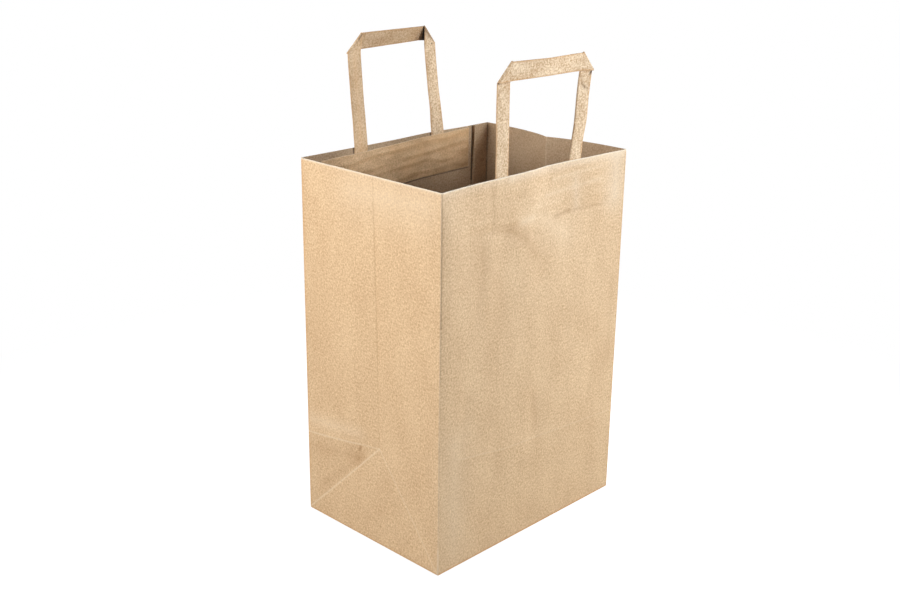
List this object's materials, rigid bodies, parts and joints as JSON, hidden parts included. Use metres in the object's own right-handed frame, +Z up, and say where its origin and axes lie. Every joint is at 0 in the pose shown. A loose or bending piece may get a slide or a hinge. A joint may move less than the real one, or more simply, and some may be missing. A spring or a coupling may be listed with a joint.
{
  "type": "paper carrier bag with flat handles",
  "caption": "Open kraft paper carrier bag with gusseted sides, a folded block bottom, flat paper tape handles and glued reinforcing patches.",
  "frame": {"origin": "middle of the underside, on the surface that the bag stands on", "axes": "+Z up through the mouth, +X along the width, +Y from the front panel to the rear panel"},
  "size_m": [0.25, 0.1955, 0.4621],
  "materials": {
    "kraft_sheet": "matte uncoated brown kraft paper",
    "handle_tape": "matte folded kraft paper tape",
    "patch_paper": "matte kraft paper, wrinkled by its glue"
  },
  "bodies": {
    "root": {"bag_body": "kraft_sheet", "handle_front": "handle_tape", "handle_rear": "handle_tape", "patch_front": "patch_paper", "patch_rear": "patch_paper"}
  },
  "joints": []
}
